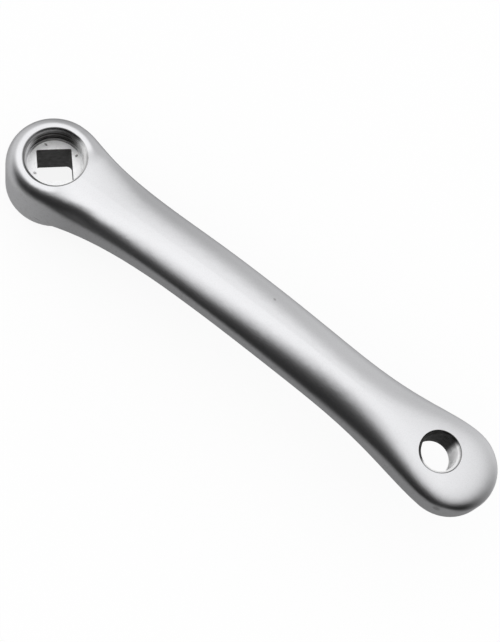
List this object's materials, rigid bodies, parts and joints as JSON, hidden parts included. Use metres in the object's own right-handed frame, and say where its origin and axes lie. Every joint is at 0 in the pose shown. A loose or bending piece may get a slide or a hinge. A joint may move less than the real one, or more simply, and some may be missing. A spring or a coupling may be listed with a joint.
{
  "type": "bicycle crank arm",
  "caption": "Forged aluminium left crank arm with a square taper socket in a round boss, an outward bend and a threaded pedal eye.",
  "frame": {"origin": "on the spindle axis, at the inner face of the boss that faces the bicycle", "axes": "+Z along the spindle axis, outward from the bicycle; +X along the arm to the pedal"},
  "size_m": [0.2105, 0.0358, 0.0404],
  "materials": {
    "forged_aluminium": "satin, brushed and anodised"
  },
  "bodies": {
    "root": {"crank_arm": "forged_aluminium"}
  },
  "joints": []
}
